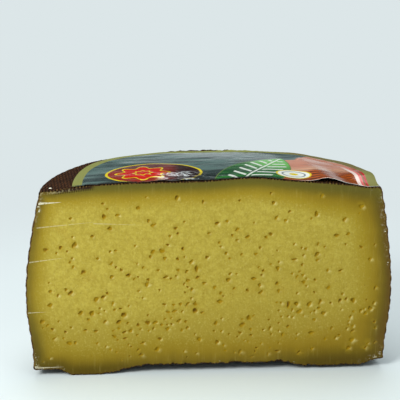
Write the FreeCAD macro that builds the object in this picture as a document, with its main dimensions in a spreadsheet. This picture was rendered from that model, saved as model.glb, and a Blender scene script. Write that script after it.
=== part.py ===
"""Half wheel of pressed, cured cheese with its round printed label, cut through the middle.

The wheel is drawn about its own upright axis, with the table at z = 0 and the cut face at y = 0.
Both pieces are then moved forward by half the wheel's radius, so that the origin lies on the
table under the middle of the half wheel.  Millimetres, +Z up, the cut face looks towards -Y.
"""

import FreeCAD, Part
import math
import os
import random

import Sketcher

Vector = FreeCAD.Vector
doc = FreeCAD.newDocument("half_wheel")

# ------------------------------------------------------------------ driving sizes
SIZES = [
    # the barrel, as the plaited band of the mould leaves it
    ("middle_radius", 100.0, "widest radius, over the plait rows"),
    ("middle_height", 50.0, "height of the widest radius"),
    ("top_draw", 8.0, "how much narrower the barrel is under the top rim"),
    ("base_draw", 2.2, "how much narrower it is at the heel"),
    ("draw_power", 1.6, "how the sides fall away from the middle"),
    ("plait_rows", 12, "rows of plait pressed into the side"),
    ("plait_relief", 0.75, "depth of the groove between two rows"),
    # top
    ("rim_height", 105.0, "height of the top rim"),
    ("rim_round", 1.6, "rounding of the top rim"),
    ("crown_rise", 6.2, "how far the domed top rises above its rim"),
    # underside
    ("heel_height", 3.5, "height of the heel's edge above the table"),
    ("heel_width", 14.0, "from the heel's edge in to the flat ring that it rests on"),
    ("foot_width", 27.0, "width of that ring"),
    ("flank_width", 17.0, "width of the slope from the ring up into the hollow"),
    ("hollow_depth", 4.4, "depth of the hollow underneath"),
    # eyes in the cut face
    ("eye_count", 36, "larger eyes opened by the knife"),
    ("eye_radius_least", 0.5, "radius of the smallest at its mouth"),
    ("eye_radius_range", 0.65, "how much larger the largest is"),
    ("eye_narrowing", 0.5, "radius of an eye's floor as a share of its mouth's"),
    ("eye_depth_least", 0.6, "depth of the shallowest"),
    ("eye_depth_range", 0.9, "how much deeper the deepest is"),
    ("eye_margin", 11.0, "close band without eyes inside the rind"),
    ("eye_spacing", 9.0, "least distance between two of them"),
    # label
    ("label_margin", 7.2, "how much smaller the label's radius is than the top's"),
    ("label_shift_x", 8.1, "label's centre, along the cut from the wheel's axis"),
    ("label_shift_y", 6.0, "label's centre, behind the cut"),
    ("label_thickness", 0.35, "printed foil and glue"),
    ("label_seat", 0.2, "gap between the label and the rind"),
    ("buckle_height", 2.5, "lift of the buckle at the cut edge"),
    ("buckle_width", 13.0, "half width of the buckle"),
    ("buckle_inset", 28.0, "from the label's end to the buckle's crest, at the cut"),
    ("buckle_lean", 4.0, "how far the crest has moved in at the far rim"),
    ("buckle_fade", 0.45, "share of its height that the buckle has lost at the far rim"),
    ("edge_lift", 1.8, "how far the stiff label stands off where the rim falls away"),
    ("edge_lift_turn", 18.0, "degrees round the rim from the cut to the middle of that lift"),
    ("edge_lift_spread", 26.0, "half width of that lift, in degrees"),
    ("edge_lift_reach", 26.0, "how far in from the rim that lift begins"),
]

sheet = doc.addObject("Spreadsheet::Sheet", "Sizes")
for row, (alias, number, meaning) in enumerate(SIZES, start=1):
    sheet.set(f"A{row}", meaning)
    sheet.set(f"B{row}", str(number))
    sheet.setAlias(f"B{row}", alias)
doc.recompute()


class Term:
    """A size worked out from the sheet: its present number, and the expression that gives it."""

    def __init__(self, number, text):
        self.number = float(number)
        self.text = text

    def __add__(self, other):
        return combine(self, "+", other)

    def __radd__(self, other):
        return combine(other, "+", self)

    def __sub__(self, other):
        return combine(self, "-", other)

    def __rsub__(self, other):
        return combine(other, "-", self)

    def __mul__(self, other):
        return combine(self, "*", other)

    def __rmul__(self, other):
        return combine(other, "*", self)

    def __truediv__(self, other):
        return combine(self, "/", other)

    def __pow__(self, other):
        return combine(self, "^", other)


WORKED_OUT = {
    "+": lambda a, b: a + b,
    "-": lambda a, b: a - b,
    "*": lambda a, b: a * b,
    "/": lambda a, b: a / b,
    "^": lambda a, b: a**b,
}


def combine(left, sign, right):
    """The two-sided sum, difference, product, quotient or power of two terms or numbers."""
    left = left if isinstance(left, Term) else Term(left, repr(left))
    right = right if isinstance(right, Term) else Term(right, repr(right))
    return Term(WORKED_OUT[sign](left.number, right.number), f"({left.text} {sign} {right.text})")


def cell(alias):
    """One cell of the sheet as a term."""
    return Term(getattr(sheet, alias), f"{sheet.Name}.{alias}")


def bind(item, path, term):
    """Tie a property or a named constraint to its term."""
    item.setExpression(path, term.text)


def origin_plane(body, role):
    """One of a body's own three origin planes, found by its role."""
    return next(f for f in body.Origin.OriginFeatures if f.Role == role)


# ------------------------------------------------------------------ the pressed wheel, halved
middle_radius = cell("middle_radius")
middle_height = cell("middle_height")
rim_height = cell("rim_height")
rim_round = cell("rim_round")
heel_height = cell("heel_height")
plait_relief = cell("plait_relief")

groove_radius = middle_radius - plait_relief
top_radius = groove_radius - cell("top_draw")
base_radius = groove_radius - cell("base_draw")
side_top = rim_height - rim_round
plait_pitch = (side_top - heel_height) / cell("plait_rows")


def groove(row):
    """Radius and height of the groove below plait row `row`, counted up from the heel.

    From the middle the radius falls by top_draw up to the rim and by base_draw down to the heel,
    both with the same power of the distance from the middle.
    """
    height = heel_height + row * plait_pitch
    if height.number > middle_height.number:
        share = (height - middle_height) / (side_top - middle_height)
        draw = cell("top_draw")
    else:
        share = (middle_height - height) / (middle_height - heel_height)
        draw = cell("base_draw")
    return groove_radius - draw * share ** cell("draw_power"), height


def arc_radius(half_chord, rise):
    """Radius of the arc that rises by `rise` over a chord of twice `half_chord`."""
    return (half_chord * half_chord + rise * rise) / (2 * rise)


def outward_arc(start, end, radius):
    """Arc from start to end, anticlockwise, with its centre on the left of the way there."""
    chord = end - start
    inward = Vector(-chord.y, chord.x, 0).normalize()
    centre = (start + end) / 2 + inward * math.sqrt(radius**2 - (chord.Length / 2) ** 2)
    from_centre = [point - centre for point in (start, end)]
    angles = [math.atan2(reach.y, reach.x) for reach in from_centre]
    return Part.ArcOfCircle(Part.Circle(centre, Vector(0, 0, 1), radius), *angles)


def draw_outline(sketch, corners):
    """Closed outline, anticlockwise: each corner is (across, up, radius of the edge that leaves it).

    `across` is None on the sketch's upright axis, and the radius is None for a straight edge.
    """
    points = [Vector(x.number if x else 0, z.number, 0) for x, z, _ in corners]
    for i, (_, _, radius) in enumerate(corners):
        start, end = points[i], points[(i + 1) % len(points)]
        if radius is None:
            sketch.addGeometry(Part.LineSegment(start, end), False)
        else:
            sketch.addGeometry(outward_arc(start, end, radius.number), False)
    for i, (across, up, radius) in enumerate(corners):
        before = i - 1 if i else len(corners) - 1
        sketch.addConstraint(Sketcher.Constraint("Coincident", before, 2, i, 1))
        if across is None:
            sketch.addConstraint(Sketcher.Constraint("PointOnObject", i, 1, -2))
        else:
            tie(sketch, "DistanceX", (-1, 1, i, 1), across, f"across_{i}")
        tie(sketch, "DistanceY", (-1, 1, i, 1), up, f"up_{i}")
        if radius is not None:
            tie(sketch, "Radius", (i,), radius, f"radius_{i}")


def tie(sketch, kind, places, term, name):
    """Add one dimension to a sketch and bind it to its term."""
    index = sketch.addConstraint(Sketcher.Constraint(kind, *places, term.number))
    sketch.renameConstraint(index, name)
    bind(sketch, f"Constraints.{name}", term)


foot_outer = base_radius - cell("heel_width")
foot_inner = foot_outer - cell("foot_width")
floor_radius = foot_inner - cell("flank_width")
rim_edge = top_radius - rim_round

ground = 0 * heel_height
hollow = cell("hollow_depth")
crown_height = rim_height + cell("crown_rise")
crown_radius = arc_radius(rim_edge, cell("crown_rise"))
plait_radius = arc_radius(plait_pitch / 2, plait_relief)
heel_radius = arc_radius(cell("heel_width"), heel_height)

corners = [(None, hollow, None), (floor_radius, hollow, None), (foot_inner, ground, None)]
corners.append((foot_outer, ground, heel_radius))
for row in range(int(cell("plait_rows").number)):
    corners.append((*groove(row), plait_radius))
corners.append((top_radius, side_top, rim_round))
corners.append((rim_edge, rim_height, crown_radius))
corners.append((None, crown_height, None))

wheel = doc.addObject("PartDesign::Body", "PressedWheel")
profile = wheel.newObject("Sketcher::SketchObject", "WheelProfile")
profile.AttachmentSupport = [(origin_plane(wheel, "XZ_Plane"), "")]
profile.MapMode = "FlatFace"
draw_outline(profile, corners)
doc.recompute()

half_turn = wheel.newObject("PartDesign::Revolution", "HalfTurn")
half_turn.Profile = profile
half_turn.ReferenceAxis = (profile, ["V_Axis"])
half_turn.Angle = 180
wheel.Tip = half_turn
doc.recompute()
half_turn.Reversed = half_turn.Shape.CenterOfMass.y < 0
doc.recompute()

# ------------------------------------------------------------------ eyes opened by the knife
# Each eye is a small bowl that narrows to its floor.  They are strewn over the close-grained
# paste, thicker towards the foot, never nearer to each other than eye_spacing.
EYE_LEAD = 0.1  # each tool starts this far before the cut, so that it opens the face cleanly
draws = random.Random(11)
eyes = doc.addObject("Part::Compound", "Eyes")
eye_field = base_radius - cell("eye_margin")
eye_floor = heel_height + cell("eye_margin")
eye_ceiling = side_top - cell("eye_margin")
placed = []
while len(placed) < int(cell("eye_count").number):
    across = draws.uniform(-1, 1) * eye_field
    up = eye_floor + draws.random() ** 1.15 * (eye_ceiling - eye_floor)
    width_share = draws.random() ** 2
    depth_share = draws.random()
    spot = Vector(across.number, 0, up.number)
    if any(spot.distanceToPoint(other) < cell("eye_spacing").number for other in placed):
        continue
    placed.append(spot)
    mouth = cell("eye_radius_least") + width_share * cell("eye_radius_range")
    eye = doc.addObject("Part::Cone", f"Eye{len(placed)}")
    eye.Placement = FreeCAD.Placement(Vector(0, -EYE_LEAD, 0), FreeCAD.Rotation(Vector(1, 0, 0), -90))
    bind(eye, "Radius1", mouth)
    bind(eye, "Radius2", mouth * cell("eye_narrowing"))
    bind(eye, "Height", EYE_LEAD + cell("eye_depth_least") + depth_share * cell("eye_depth_range"))
    bind(eye, "Placement.Base.x", across)
    bind(eye, "Placement.Base.z", up)
    eyes.Links = eyes.Links + [eye]

cheese = doc.addObject("Part::Cut", "Cheese")
cheese.Label = "cheese"
cheese.Base = wheel
cheese.Tool = eyes
doc.recompute()

# ------------------------------------------------------------------ printed label
label_radius = rim_edge - cell("label_margin")
label_x = cell("label_shift_x")
label_y = cell("label_shift_y")


def smooth_bump(distance, half_width):
    """1 at no distance, falling to 0 at half_width and beyond along a squared cosine."""
    share = min(abs(distance) / half_width, 1.0)
    return math.cos(share * math.pi / 2) ** 2


def label_lift(x, y):
    """How far the label stands off the crown: its buckle, and the stiff edge by the right rim.

    The buckle's crest runs from the cut edge to the far rim, leaning in and fading as it goes.
    """
    back_share = max(y, 0.0) / rim_edge.number
    end_x = label_x.number + label_radius.number
    crest_x = end_x - cell("buckle_inset").number - cell("buckle_lean").number * back_share
    height = cell("buckle_height").number * (1 - cell("buckle_fade").number * back_share)
    buckle = height * smooth_bump(x - crest_x, cell("buckle_width").number)

    from_axis = math.hypot(x, y)
    turn = math.degrees(math.atan2(y, x)) - cell("edge_lift_turn").number
    inside_rim = max(rim_edge.number - from_axis, 0.0)
    edge = cell("edge_lift").number * smooth_bump(turn, cell("edge_lift_spread").number)
    edge = edge * smooth_bump(inside_rim, cell("edge_lift_reach").number)
    return max(buckle, edge) if x > 0 else 0.0


def crown_at(x, y):
    """Height of the domed top: a sphere about the wheel's axis, carried on past the rim."""
    radius = crown_radius.number
    return crown_height.number - radius + math.sqrt(radius**2 - x * x - y * y)


SHEET_STEP = 4.5  # grid of the label's surface
reach = label_radius.number + math.hypot(label_x.number, label_y.number) + SHEET_STEP
count_x = math.ceil(2 * reach / SHEET_STEP)
count_y = math.ceil((reach + SHEET_STEP) / SHEET_STEP)
grid = []
for i in range(count_x + 1):
    x = -reach + 2 * reach * i / count_x
    column = []
    for j in range(count_y + 1):
        y = -SHEET_STEP + (reach + SHEET_STEP) * j / count_y
        column.append(Vector(x, y, crown_at(x, y) + cell("label_seat").number + label_lift(x, y)))
    grid.append(column)
underside = Part.BSplineSurface()
underside.interpolate(grid)
sheet_solid = doc.addObject("Part::Feature", "LabelSheet")
sheet_solid.Shape = underside.toShape().extrude(Vector(0, 0, cell("label_thickness").number))

# The round label was cut through with the wheel: an arc about its centre, closed along the cut.
half_cut = (label_radius**2 - label_y**2) ** 0.5
outline = doc.addObject("Sketcher::SketchObject", "LabelOutline")
start = Vector(label_x.number + half_cut.number, 0, 0)
end = Vector(label_x.number - half_cut.number, 0, 0)
from_y = math.asin(label_y.number / label_radius.number)
circle = Part.Circle(Vector(label_x.number, label_y.number, 0), Vector(0, 0, 1), label_radius.number)
outline.addGeometry(Part.ArcOfCircle(circle, -from_y, math.pi + from_y), False)
outline.addGeometry(Part.LineSegment(end, start), False)
outline.addConstraint(Sketcher.Constraint("Coincident", 0, 2, 1, 1))
outline.addConstraint(Sketcher.Constraint("Coincident", 1, 2, 0, 1))
outline.addConstraint(Sketcher.Constraint("PointOnObject", 0, 1, -1))
outline.addConstraint(Sketcher.Constraint("PointOnObject", 0, 2, -1))
tie(outline, "DistanceX", (-1, 1, 0, 3), label_x, "label_shift_x")
tie(outline, "DistanceY", (-1, 1, 0, 3), label_y, "label_shift_y")
tie(outline, "Radius", (0,), label_radius, "label_radius")
doc.recompute()

cutter = doc.addObject("Part::Extrusion", "LabelCutter")
cutter.Base = outline
cutter.DirMode = "Custom"
cutter.Dir = Vector(0, 0, 1)
cutter.Solid = True
bind(cutter, "LengthFwd", 2 * crown_height)

label = doc.addObject("Part::Common", "Label")
label.Label = "label"
label.Base = sheet_solid
label.Tool = cutter
doc.recompute()

# ------------------------------------------------------------------ place, check and write
pieces = [cheese, label]
for piece in pieces:
    bind(piece, "Placement.Base.y", -1 * middle_radius / 2)
doc.recompute()

for item in doc.Objects:
    if "Invalid" in item.State or "Error" in item.State:
        raise RuntimeError(f"{item.Label} did not compute: {item.State}")
for piece in pieces:
    shape = piece.Shape
    if shape.isNull() or not shape.isValid() or len(shape.Solids) != 1:
        raise RuntimeError(f"{piece.Label} is not one valid solid")

os.makedirs("parts", exist_ok=True)
for piece in pieces:
    piece.Shape.exportStep(f"parts/{piece.Label}.step")
    box = piece.Shape.BoundBox
    print(f"{piece.Label}: {piece.Shape.Volume / 1000:.2f} cm3,", box)
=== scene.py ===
import math

import bmesh
import bpy
import numpy as np
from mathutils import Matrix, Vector
from mathutils.geometry import delaunay_2d_cdt


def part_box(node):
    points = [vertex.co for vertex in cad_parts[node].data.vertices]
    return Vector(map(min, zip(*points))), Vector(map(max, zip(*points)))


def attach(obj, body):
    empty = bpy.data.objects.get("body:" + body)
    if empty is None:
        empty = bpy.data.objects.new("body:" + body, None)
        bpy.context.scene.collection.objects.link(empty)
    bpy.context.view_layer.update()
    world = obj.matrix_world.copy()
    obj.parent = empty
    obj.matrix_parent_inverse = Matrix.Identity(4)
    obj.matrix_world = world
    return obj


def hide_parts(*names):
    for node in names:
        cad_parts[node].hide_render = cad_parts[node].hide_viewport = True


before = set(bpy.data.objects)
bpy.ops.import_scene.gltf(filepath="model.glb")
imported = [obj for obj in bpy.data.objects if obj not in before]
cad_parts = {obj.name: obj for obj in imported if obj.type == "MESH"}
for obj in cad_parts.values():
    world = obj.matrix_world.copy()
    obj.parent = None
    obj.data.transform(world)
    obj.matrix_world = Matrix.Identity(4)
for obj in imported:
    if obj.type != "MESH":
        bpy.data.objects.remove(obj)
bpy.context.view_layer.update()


# ------------------------------
# Paste
# The pressed and cured curd itself: half of a low barrel, cut straight through its axis with a
# long knife. It is one solid, dense and yellow, drier and darker towards the rind, and the knife
# opened some hundreds of small eyes in it. All lengths are in millimetres from the wheel's axis,
# the cut and the table, and MM turns them into metres.
# ------------------------------

MM = 0.001

cheese_low, cheese_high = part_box("cheese")
cut_y = cheese_low.y / MM
belt_proud = 0.75
belly_radius = cheese_high.x / MM - belt_proud
belly_height = 50
top_draw = 8.6
foot_draw = 2.5
rim_height = 105
rim_radius = 91
crown_rise = 4.1
crown_radius = 84
hollow_rise = 4.5
heel_height = 3.6
corner_round = 1.7
belt_row = 8.35
belt_strand = 6.4
belt_relief = 0.72
knot_across = 0.95
knot_back = 2.2
rind_thickness = 0.55


def together(*parts):
    """Arrays side by side on a new last axis, each spread to their common shape."""
    return np.stack(np.broadcast_arrays(*parts), axis=-1)


def ease(low, high, value):
    """0 below low, 1 above high, and between them the S curve 3t^2 - 2t^3."""
    t = np.clip((value - low) / (high - low), 0, 1)
    return t * t * (3 - 2 * t)


def bump(value, width):
    """The bell curve exp(-(value / width)^2)."""
    return np.exp(-((value / width) ** 2))


def rough(u, v, size, seed):
    """Smooth random heights from -1 to 1: random values on a square lattice, eased between its corners."""
    side = 64
    lattice = np.random.default_rng(seed).uniform(-1, 1, (side, side))
    u, v = np.broadcast_arrays(u / size + 10 * side, v / size + 10 * side)
    i, j = np.floor(u).astype(int), np.floor(v).astype(int)
    s, t = ease(0, 1, u - i), ease(0, 1, v - j)
    i, j, i_next, j_next = i % side, j % side, (i + 1) % side, (j + 1) % side
    near = lattice[i, j] * (1 - s) + lattice[i_next, j] * s
    far = lattice[i, j_next] * (1 - s) + lattice[i_next, j_next] * s
    return near * (1 - t) + far * t


def crown_height(x, y):
    """Height of the pressed top: a crown that falls to the rim by the 3.5th power of the radius.

    Bell curves add a swelling, a fuller rear, a rough lip and a drop. Random waves fade in behind the cut.
    """
    radius = np.hypot(x, y)
    azimuth = np.degrees(np.arctan2(y, x))
    crown = crown_rise * (1 - np.clip(radius / crown_radius, 0, 1) ** 3.5)
    swelling = 1.85 * np.exp(-(((x - 22) / 19) ** 2) - (y / 48) ** 2)
    fuller = 0.9 * bump(azimuth - 138, 24) * bump(radius - 80, 8)
    lip = (0.35 + 0.5 * rough(x, y, 1.7, 14)) * bump(azimuth - 89, 17) * ease(85.5, 88.5, radius)
    drop = 1.2 * bump(azimuth - 118, 13) * ease(84.5, 90, radius)
    waves = 0.3 * rough(x, y, 26, 11) * ease(0, 14, y)
    return rim_height - 0.45 * x / rim_radius + crown + swelling + fuller + lip + waves - drop


def base_height(x, y):
    """Height of the underside: a hollow, the ring it stands on, a heel that turns up, and a torn edge."""
    radius = np.maximum(np.hypot(x, y), 1e-6)
    right = 0.5 + 0.5 * x / radius
    hollow = hollow_rise * (1 - ease(33, 63, radius))
    heel = heel_height * ease(75 + 6 * right, 84 + 13 * right, radius)
    at_cut = 1.5 * ease(46, 60, x) * bump(y, 15) + 0.9 * bump(x - 42, 5) * bump(y, 9)
    torn = np.abs(rough(x, y, 2.3, 12)) * 1.1 + np.abs(rough(x, y, 0.9, 13)) * 0.45
    torn = torn * bump(y, 1.6) * (0.35 + 0.65 * ease(-70, -40, x))
    return hollow + heel + at_cut + torn


def belt_print(height, arc):
    """0 in the grooves and 1 on the strands of the plaited belt's print.

    Each row of the plait is a band of slanting strands that lean the other way from the row below. The
    section of a strand, and of a row, is the square root of a sine, so both end in sharp grooves.
    """
    row = (height + 1.3 * rough(arc, height, 21, 21)) / belt_row
    number = np.floor(row)
    across = row - number
    lean = np.where(number % 2 == 0, 1, -1)
    along = arc / belt_strand + 1.15 * lean * across + 0.37 * number + 0.22 * rough(arc, height, 9, 22)
    strand = np.sqrt(np.sin(np.pi * (along % 1)))
    return strand * np.sqrt(np.sin(np.pi * across)) * (0.82 + 0.18 * rough(arc, height, 5, 23))


def side_radius(height, angle, depth):
    """Distance of the side from the axis: a belly drawn in to the rim and the foot, and the belt's print."""
    arc = belly_radius * angle
    draw = top_draw - 0.85 * np.cos(angle)
    up = np.clip((height - belly_height) / (rim_height - belly_height), 0, 1)
    down = 1 - ease(11, 41, height)
    chips = np.abs(rough(height, angle, 1, 24)) * bump(np.minimum(arc, belly_radius * math.pi - arc), 1.4)
    relief = belt_relief * belt_print(height, arc) * np.where(np.asarray(depth) > 0, 0.6, 1)
    return belly_radius - draw * up**1.42 - foot_draw * down + relief - 0.25 * chips - depth


def weave(x, y):
    """The cheesecloth's print, from -1 to 1: a sine across times a sine back, pulled out of line."""
    u = x + 0.10 * y + 0.8 * rough(x, y, 17, 25)
    v = y - 0.10 * x + 0.8 * rough(x, y, 17, 26)
    return np.sin(math.pi * u / knot_across + 0.6) * np.sin(math.pi * v / knot_back + 1.1)


def at(radius, angle, height):
    """Points from their distance from the axis, their angle from the cut's right end and their height."""
    return together(radius * np.cos(angle), radius * np.sin(angle), height)


def rounded(before, corner, after):
    """Rows of a quadratic curve that leaves one row, is drawn to the corner and ends in the next row."""
    t = np.linspace(0, 1, 7)[:, None, None]
    return (1 - t) ** 2 * before + 2 * t * (1 - t) * corner + t**2 * after


def heel_corner(angle, depth):
    """Distance from the axis and height of the corner between the base and the side."""
    radius = side_radius(heel_height, angle, depth)
    return radius, base_height(radius * np.cos(angle), radius * np.sin(angle)) + depth


def rim_corner(angle, depth):
    """Distance from the axis and height of the corner between the side and the crown."""
    radius = side_radius(rim_height, angle, depth)
    return radius, crown_height(radius * np.cos(angle), radius * np.sin(angle)) - depth


def wheel_base(steps, angle, depth):
    """Rows from the middle of the base out to the heel and round it, this deep below the skin."""
    radius, height = heel_corner(angle, depth)
    out = steps[:, None] * (radius - corner_round)
    x, y = out * np.cos(angle), out * np.sin(angle)
    cloth = (0.10 * weave(x, y) + 0.10) * (np.asarray(depth) == 0)
    base = at(out, angle, base_height(x, y) + depth + cloth)
    side_start = height + corner_round
    start = at(side_radius(side_start, angle, depth), angle, side_start)
    return np.concatenate([base, rounded(base[-1], at(radius, angle, height), start)[1:]])


def wheel_side(steps, angle, depth):
    """Rows from the heel up the side to the rim."""
    start = heel_corner(angle, depth)[1] + corner_round
    end = rim_corner(angle, depth)[1] - corner_round
    height = start + steps[:, None] * (end - start)
    return at(side_radius(height, angle, depth), angle, height)


def wheel_crown(steps, angle, depth):
    """Rows from the rim's start, round it and over the crown to the middle."""
    radius, height = rim_corner(angle, depth)
    side_end = height - corner_round
    end = at(side_radius(side_end, angle, depth), angle, side_end)
    inward = (1 - steps[:, None]) * (radius - corner_round)
    x, y = inward * np.cos(angle), inward * np.sin(angle)
    crown = at(inward, angle, crown_height(x, y) - depth + 0.15 * weave(x, y))
    return np.concatenate([rounded(end, at(radius, angle, height), crown[0])[:-1], crown])


def turned(count):
    """Angles round the half wheel from the cut's right end to its left end, closest together at the cut."""
    t = np.linspace(0, 1, count)
    return math.pi * (t - 0.5 * np.sin(2 * math.pi * t) / (2 * math.pi))


base_steps = np.linspace(0, 1, 150)
side_steps = np.linspace(0, 1, 170)
crown_steps = np.concatenate([np.linspace(0, 0.32, 72), np.linspace(0.32, 1, 60)[1:]])
coarse_angles = turned(28)


def grid_faces(rows, columns, first=0):
    """Four-cornered faces of a grid of points that is numbered row by row from first."""
    corner = first + np.arange(rows - 1)[:, None] * columns + np.arange(columns - 1)
    return together(corner, corner + 1, corner + columns + 1, corner + columns).reshape(-1, 4)


weld_distance = 2e-6


def make_piece(name, points, face_groups, attributes, sharp=50):
    """A welded, smooth shaded mesh object from points in millimetres and groups of faces.

    The faces of a group have equally many corners. Edges that turn by more than sharp degrees stay crisp.
    """
    mesh = bpy.data.meshes.new(name)
    corners = np.concatenate([group.ravel() for group in face_groups]).astype(np.int32)
    sizes = np.concatenate([np.full(len(group), group.shape[1]) for group in face_groups])
    mesh.vertices.add(len(points))
    mesh.vertices.foreach_set("co", ((points + (0, cut_y, 0)) * MM).astype(np.float32).ravel())
    mesh.loops.add(len(corners))
    mesh.loops.foreach_set("vertex_index", corners)
    mesh.polygons.add(len(sizes))
    mesh.polygons.foreach_set("loop_start", (np.cumsum(sizes) - sizes).astype(np.int32))
    mesh.update(calc_edges=True)
    for key, values in attributes.items():
        kind = "FLOAT" if values.ndim == 1 else "FLOAT_VECTOR"
        layer = mesh.attributes.new(key, kind, "POINT")
        layer.data.foreach_set("value" if kind == "FLOAT" else "vector", values.astype(np.float32).ravel())
    welded = bmesh.new()
    welded.from_mesh(mesh)
    bmesh.ops.remove_doubles(welded, verts=welded.verts, dist=weld_distance)
    bmesh.ops.dissolve_degenerate(welded, edges=welded.edges, dist=1e-7)
    welded.to_mesh(mesh)
    welded.free()
    mesh.shade_smooth()
    mesh.set_sharp_from_angle(angle=math.radians(sharp))
    piece = bpy.data.objects.new(name, mesh)
    bpy.context.scene.collection.objects.link(piece)
    return piece


def paste_skin():
    """The paste under the rind as one grid, on whose two end columns the cut face's outline runs."""
    clearance = rind_thickness + 0.12 * np.sin(coarse_angles)
    rows = []
    for part, steps in ((wheel_base, base_steps), (wheel_side, side_steps), (wheel_crown, crown_steps)):
        rows.append(part(steps, coarse_angles, clearance)[(1 if rows else 0):])
    return np.concatenate(rows)


skin = paste_skin()
outline = np.concatenate([skin[:, 0], skin[-2:0:-1, -1]])[:, [0, 2]]


def inside_outline(points):
    """True for each point of the cut plane that lies inside the outline, by the crossings to its right."""
    x, z = points[:, 0, None], points[:, 1, None]
    start, end = outline, np.roll(outline, -1, axis=0)
    rise = end[:, 1] - start[:, 1]
    crosses = (start[:, 1] > z) != (end[:, 1] > z)
    where = start[:, 0] + (z - start[:, 1]) * (end[:, 0] - start[:, 0]) / np.where(rise == 0, 1e-9, rise)
    return (crosses & (x < where)).sum(axis=1) % 2 == 1


def rind_distance(points):
    """Distance of each point of the cut plane from the outline."""
    return np.sqrt(((points[:, None, :] - outline[None, :, :]) ** 2).sum(axis=-1).min(axis=1))


# The eyes that stand out most: across, up, half width, half height and tilt in degrees.
large_eyes = np.array([
    (56, 21.8, 1.9, 0.95, 5), (32.6, 79.3, 1.15, 1, 0), (9, 87, 0.9, 0.8, 0),
    (-33, 88, 0.9, 1, 20), (35.4, 88.4, 0.75, 1.5, -35), (5.2, 41.4, 1.5, 1.2, 15),
    (-58, 45.4, 1.5, 0.9, 40), (-17.4, 60, 1, 0.8, 10), (20, 78, 1.5, 0.85, 8),
    (-43.5, 25.6, 1.2, 1.1, 0), (-63, 80, 1, 0.85, 0), (-80, 74, 0.95, 1.1, 0),
    (51, 51.6, 1.15, 1, 0), (36.7, 59.8, 1.1, 1.35, 0), (-23, 36, 1.1, 0.8, 0),
    (8.3, 12.6, 0.9, 0.75, 0), (72.6, 44.2, 0.9, 0.75, 30), (82, 71, 1.25, 0.7, -50),
    (-27.6, 20.4, 1.2, 1, 20), (-30, 30, 1.7, 0.9, 25), (-52, 38, 0.8, 0.8, 0),
    (64, 58, 0.6, 1.2, 10), (-8.2, 40.4, 0.95, 1.5, 0), (-4.4, 35.2, 0.95, 0.75, 20),
])
eye_count = 330
eye_tries = 9000
eye_gap = 0.55
mouth_corners = 14


def scatter_eyes():
    """Centre, half width, half height and tilt of every eye: the placed ones, then random ones."""
    rng = np.random.default_rng(20)
    eyes = [tuple(eye) for eye in large_eyes]
    tries = together(rng.uniform(-96, 96, eye_tries), rng.uniform(3, 108, eye_tries))
    edge = np.where(inside_outline(tries), rind_distance(tries), 0)
    crowd = 0.14 + 0.86 * ease(102, 60, tries[:, 1])
    crowd *= 0.35 + 0.65 * ease(-96, -66, tries[:, 0] - 0.25 * (tries[:, 1] - 50))
    crowd *= 0.45 + 0.55 * ease(98, 70, tries[:, 0])
    crowd *= 0.55 + 0.45 * rough(tries[:, 0], tries[:, 1], 13, 31)
    keep = (rng.uniform(0, 1, eye_tries) < crowd) & (edge > 6.5 - 3.7 * ease(32, 14, tries[:, 1]))
    kept = keep.sum()
    draws = rng.uniform(0, 1, kept), rng.uniform(0, 1, kept), rng.normal(0, 1, kept)
    for (x, z), size, stretch, turn in zip(tries[keep], *draws):
        radius = 0.52 + 0.44 * size + 0.56 * size**5
        placed = np.array([eye[:4] for eye in eyes])
        gap = np.hypot(placed[:, 0] - x, placed[:, 1] - z) - placed[:, 2:4].max(axis=1) - radius
        if gap.min() < eye_gap:
            continue
        upright = ease(10, 60, x) * ease(60, 30, z)
        tilt = 38 + 30 * turn + 40 * upright
        eyes.append((x, z, radius * (1 + 0.75 * stretch**3), radius * (1 - 0.16 * stretch), tilt))
        if len(eyes) == eye_count:
            break
    return np.array(eyes)


def eye_rings(eyes):
    """For each eye its rings of points across the cut, from just outside the mouth down to near the bottom.

    A mouth is an ellipse whose radius also swings by the second to the fourth harmonic. A deeper ring is the
    mouth scaled and drawn up to the left, so the eye's lower right wall lies open to the light.
    """
    rng = np.random.default_rng(3)
    turn = np.linspace(0, 2 * math.pi, mouth_corners, endpoint=False)
    swing = 0
    for n, most in ((2, 0.24), (3, 0.20), (4, 0.12)):
        strength = most * rng.uniform(0.2, 1, (len(eyes), 1))
        swing = swing + strength * np.cos(n * turn + rng.uniform(0, 6.3, (len(eyes), 1)))
    swing = 1 + swing
    tilt = np.radians(eyes[:, 4])[:, None]
    u, v = swing * np.cos(turn) * eyes[:, 2:3], swing * np.sin(turn) * eyes[:, 3:4]
    mouth = together(u * np.cos(tilt) - v * np.sin(tilt), u * np.sin(tilt) + v * np.cos(tilt))
    size = eyes[:, 2:4].mean(axis=1)
    deep = size * rng.uniform(0.28, 0.65, len(eyes))
    scales = np.array([1, 0.90, 0.74, 0.50, 0.24])
    depths = np.array([0, 0.30, 0.65, 0.91, 1])
    centre = eyes[:, None, None, :2]
    drawn = np.array([-0.14, 0.12]) * size[:, None, None, None] * depths[None, :, None, None]
    rings = centre + mouth[:, None] * scales[None, :, None, None] + drawn
    collar = eyes[:, None, :2] + mouth * (1 + 0.40 / size)[:, None, None]
    return rings, deep[:, None] * depths, collar


def face_height(points, distance):
    """How far the cut face lies behind the cut plane: nothing at its outline, and knife waves inside."""
    x, z = points[..., 0], points[..., 1]
    waves = 0.10 * rough(x, z, 15, 41) + 0.05 * rough(x, z * 0.25, 1.7, 42) + 0.03 * rough(x, z, 1.3, 43)
    return (0.26 + waves) * ease(0, 3, distance)


def near_eye(points, eyes):
    """1 at the mouths of the eyes, falling to 0 half a millimetre away from them."""
    distance = np.hypot(*(points[:, None, :] - eyes[None, :, :2]).transpose(2, 0, 1))
    return ease(0.55, 0, (distance - eyes[None, :, 2:4].mean(axis=-1)).min(axis=1))


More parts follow.
